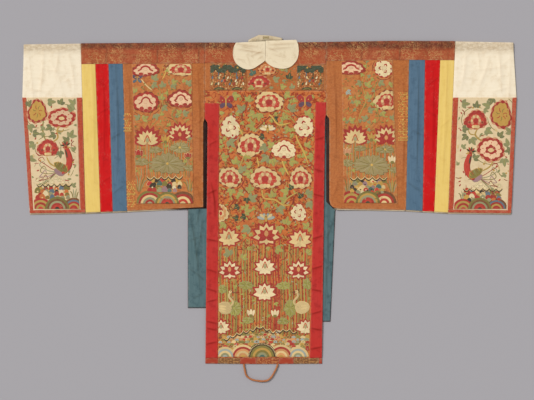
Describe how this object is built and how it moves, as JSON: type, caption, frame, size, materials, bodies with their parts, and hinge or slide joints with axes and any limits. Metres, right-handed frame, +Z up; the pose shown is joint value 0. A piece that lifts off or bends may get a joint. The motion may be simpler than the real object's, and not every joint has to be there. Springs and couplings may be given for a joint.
{
  "type": "bridal robe laid flat",
  "caption": "Wide-sleeved embroidered bridal robe laid flat on its front, showing the back, with banded sleeves, white cuffs, a bordered back panel and a white turned-down collar.",
  "frame": {"origin": "on the surface the robe lies on, under the middle of the cloth's box without the hem loop", "axes": "+X to the right sleeve as seen from above, +Y towards the collar, +Z up, out of the robe's back"},
  "size_m": [1.7777, 1.2487, 0.0102],
  "materials": {
    "orange_silk": "satin, hand-worked silk",
    "orange_brocade": "satin, hand-worked silk",
    "olive_brocade": "satin, hand-worked silk",
    "embroidered_silk": "satin, hand-worked silk",
    "crimson_silk": "satin, hand-worked silk",
    "orange_red_silk": "satin, hand-worked silk",
    "blue_silk": "satin, hand-worked silk",
    "red_silk": "satin, hand-worked silk",
    "yellow_silk": "satin, hand-worked silk",
    "white_silk": "satin, hand-worked silk",
    "cream_silk": "satin, hand-worked silk",
    "teal_silk": "satin, faded",
    "collar_paper": "matt, stiffened cloth",
    "loop_cloth": "matt, worn"
  },
  "bodies": {
    "root": {"back_border_left": "crimson_silk", "back_border_right": "crimson_silk", "back_panel": "embroidered_silk", "back_yoke": "orange_silk", "collar_lobe_left": "collar_paper", "collar_lobe_right": "collar_paper", "front_left": "red_silk", "front_lining_left": "teal_silk", "front_lining_right": "teal_silk", "front_right": "red_silk", "hem_band_1": "orange_red_silk", "hem_band_2": "olive_brocade", "hem_band_3": "orange_red_silk", "hem_band_4": "orange_brocade", "hem_band_5": "orange_red_silk", "hem_band_6": "olive_brocade", "hem_band_7": "orange_red_silk", "hem_loop": "loop_cloth", "left_blue_band_back": "blue_silk", "left_blue_band_front": "blue_silk", "left_cuff_back": "white_silk", "left_cuff_border_hem": "orange_red_silk", "left_cuff_border_inner": "orange_red_silk", "left_cuff_border_outer": "orange_red_silk", "left_cuff_front": "white_silk", "left_cuff_panel": "cream_silk", "left_field": "embroidered_silk", "left_panel_back": "orange_silk", "left_panel_front": "orange_silk", "left_red_band_back": "red_silk", "left_red_band_front": "red_silk", "left_sleeve_strip": "orange_brocade", "left_yellow_band_back": "yellow_silk", "left_yellow_band_front": "yellow_silk", "neck_band_left": "collar_paper", "neck_band_right": "collar_paper", "neck_stand": "collar_paper", "right_blue_band_back": "blue_silk", "right_blue_band_front": "blue_silk", "right_cuff_back": "white_silk", "right_cuff_border_hem": "orange_red_silk", "right_cuff_border_inner": "orange_red_silk", "right_cuff_border_outer": "orange_red_silk", "right_cuff_front": "white_silk", "right_cuff_panel": "cream_silk", "right_field": "embroidered_silk", "right_panel_back": "orange_silk", "right_panel_front": "orange_silk", "right_red_band_back": "red_silk", "right_red_band_front": "red_silk", "right_sleeve_strip": "orange_brocade", "right_yellow_band_back": "yellow_silk", "right_yellow_band_front": "yellow_silk", "shoulder_strip_left": "orange_brocade", "shoulder_strip_right": "orange_brocade", "yoke_patch_left": "olive_brocade", "yoke_patch_right": "olive_brocade"}
  },
  "joints": []
}
